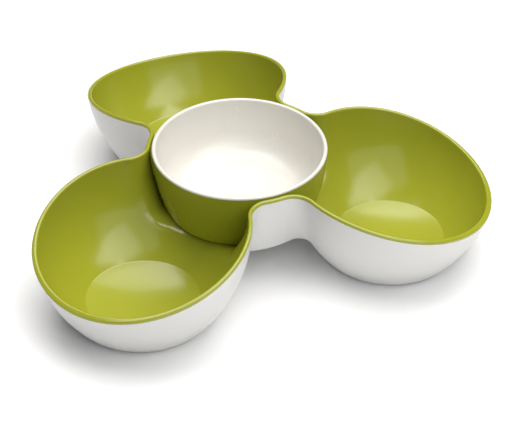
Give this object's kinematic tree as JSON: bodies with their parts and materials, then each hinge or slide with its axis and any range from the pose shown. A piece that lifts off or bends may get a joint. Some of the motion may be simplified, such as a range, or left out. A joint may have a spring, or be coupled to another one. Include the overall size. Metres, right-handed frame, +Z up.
{
  "type": "chip and dip server",
  "caption": "Two-tone moulded tray of round side bowls joined at a raised middle, with a loose dip bowl that stands in the middle and lifts out.",
  "frame": {"origin": "centre of the footprint's bounding box, on the table", "axes": "+Z up; +X from the raised middle along one side bowl, which is also the plane of symmetry; +Y across, the longest extent"},
  "size_m": [0.327, 0.3528, 0.08],
  "materials": {
    "white_plastic": "satin gloss, warm white",
    "green_plastic": "gloss, lime green"
  },
  "bodies": {
    "tray": {"tray_outer_shell": "white_plastic", "tray_liner": "green_plastic"},
    "dip_bowl": {"dip_bowl_outer_shell": "green_plastic", "dip_bowl_liner": "white_plastic"}
  },
  "joints": [
    {"name": "dip_bowl_lift", "type": "slide", "parent": "tray", "child": "dip_bowl", "axis": [0, 0, 1], "range_m": [0, 0.08]}
  ]
}
